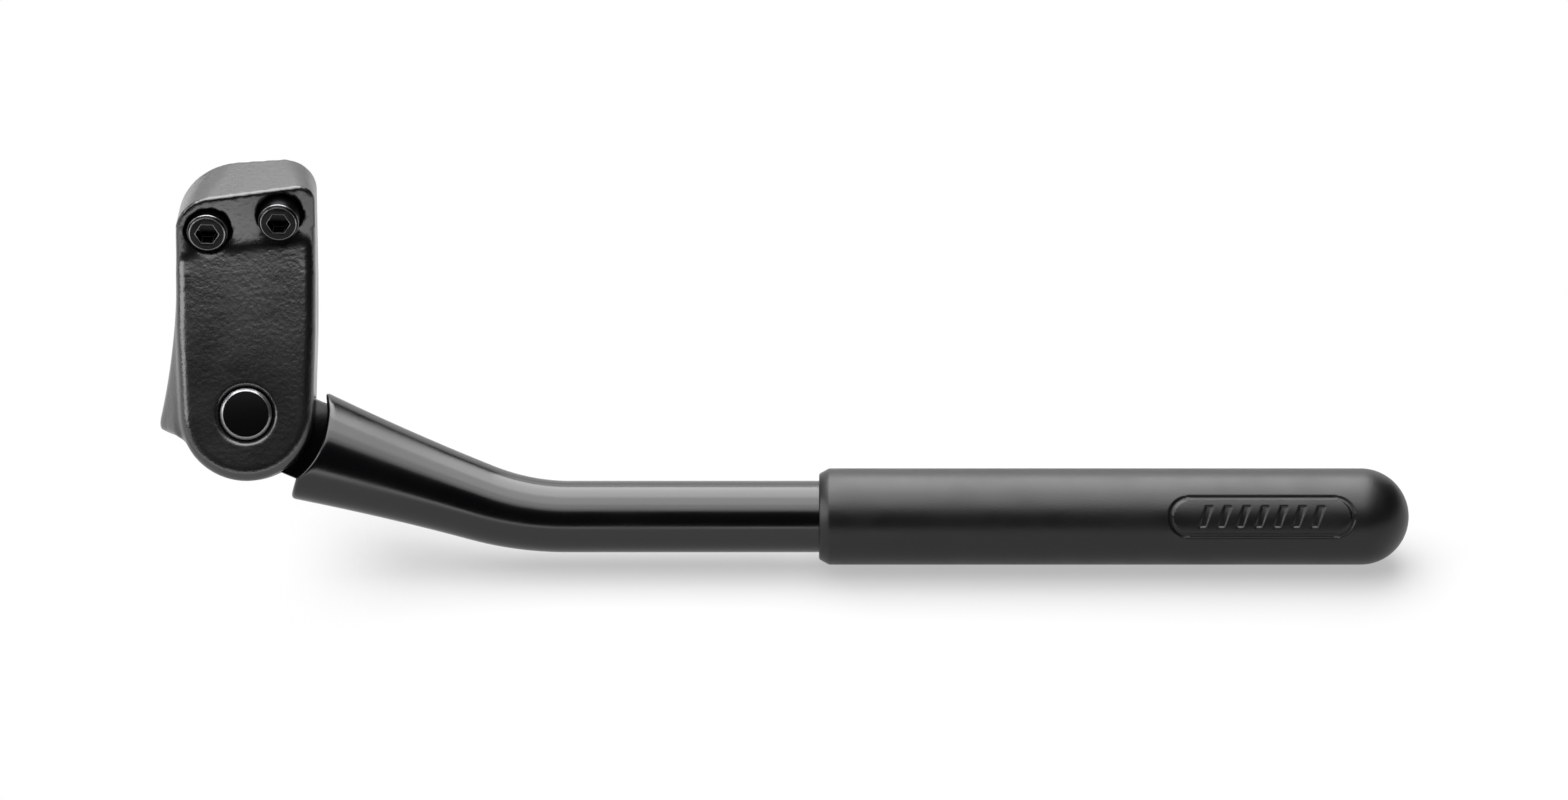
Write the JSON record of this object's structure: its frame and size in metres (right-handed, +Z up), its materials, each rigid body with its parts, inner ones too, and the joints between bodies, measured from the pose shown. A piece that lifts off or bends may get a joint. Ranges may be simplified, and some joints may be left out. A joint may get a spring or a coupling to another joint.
{
  "type": "bicycle kickstand",
  "caption": "Rear-mount bicycle kickstand with a bolt-on pivot body, a bent folding leg and a sliding foot sleeve.",
  "frame": {"origin": "midway between the two mounting bolt axes, on the mounting face", "axes": "+Y square to the mounting face, into the bicycle frame; +Z up; +X backward along the folded leg"},
  "size_m": [0.309, 0.0514, 0.0927],
  "materials": {
    "body_paint": "semi-gloss black paint on die-cast aluminium",
    "leg_paint": "smooth semi-gloss black paint on forged aluminium",
    "sleeve_nylon": "fine-grained matte black glass-filled nylon",
    "black_steel": "black-oxide steel",
    "bright_steel": "plain spring steel",
    "bush_bronze": "sintered bronze"
  },
  "bodies": {
    "mount": {"mount_body": "body_paint", "mount_bolt_left": "black_steel", "mount_bolt_right": "black_steel", "lock_washer_left": "black_steel", "lock_washer_right": "black_steel", "pivot_pin": "black_steel", "pin_retaining_ring": "black_steel", "thrust_washer_outer": "bright_steel", "thrust_washer_inner": "bright_steel"},
    "leg": {"leg": "leg_paint", "pivot_bush": "bush_bronze", "sleeve_guide_pin": "bright_steel", "detent_spring": "bright_steel"},
    "plunger": {"detent_plunger": "bright_steel"},
    "sleeve": {"foot_sleeve": "sleeve_nylon", "lock_lever_pin": "bright_steel", "lock_spring": "bright_steel"},
    "lever": {"lock_lever": "sleeve_nylon"}
  },
  "joints": [
    {"name": "leg_pivot", "type": "hinge", "parent": "mount", "child": "leg", "pos_m": [0.00106, -0.0275, -0.0482], "axis": [-0.0489, 0.8749, -0.4818], "range_deg": [0, 106.5]},
    {"name": "detent_plunger_slide", "type": "slide", "parent": "leg", "child": "plunger", "axis": [-0.9296, 0.1366, 0.3424], "range_m": [0, 0.0004], "stiffness_N_per_m": 2000, "deforming": ["detent_spring"]},
    {"name": "sleeve_slide", "type": "slide", "parent": "leg", "child": "sleeve", "axis": [0.9984, 0.0558, 0], "range_m": [-0.02, 0.02]},
    {"name": "lock_lever_tilt", "type": "hinge", "parent": "sleeve", "child": "lever", "pos_m": [0.16587, -0.01943, -0.07644], "axis": [-0.0269, 0.481, 0.8763], "range_deg": [0, 6.5], "stiffness_Nm_per_rad": 0.1, "deforming": ["lock_spring"]}
  ]
}
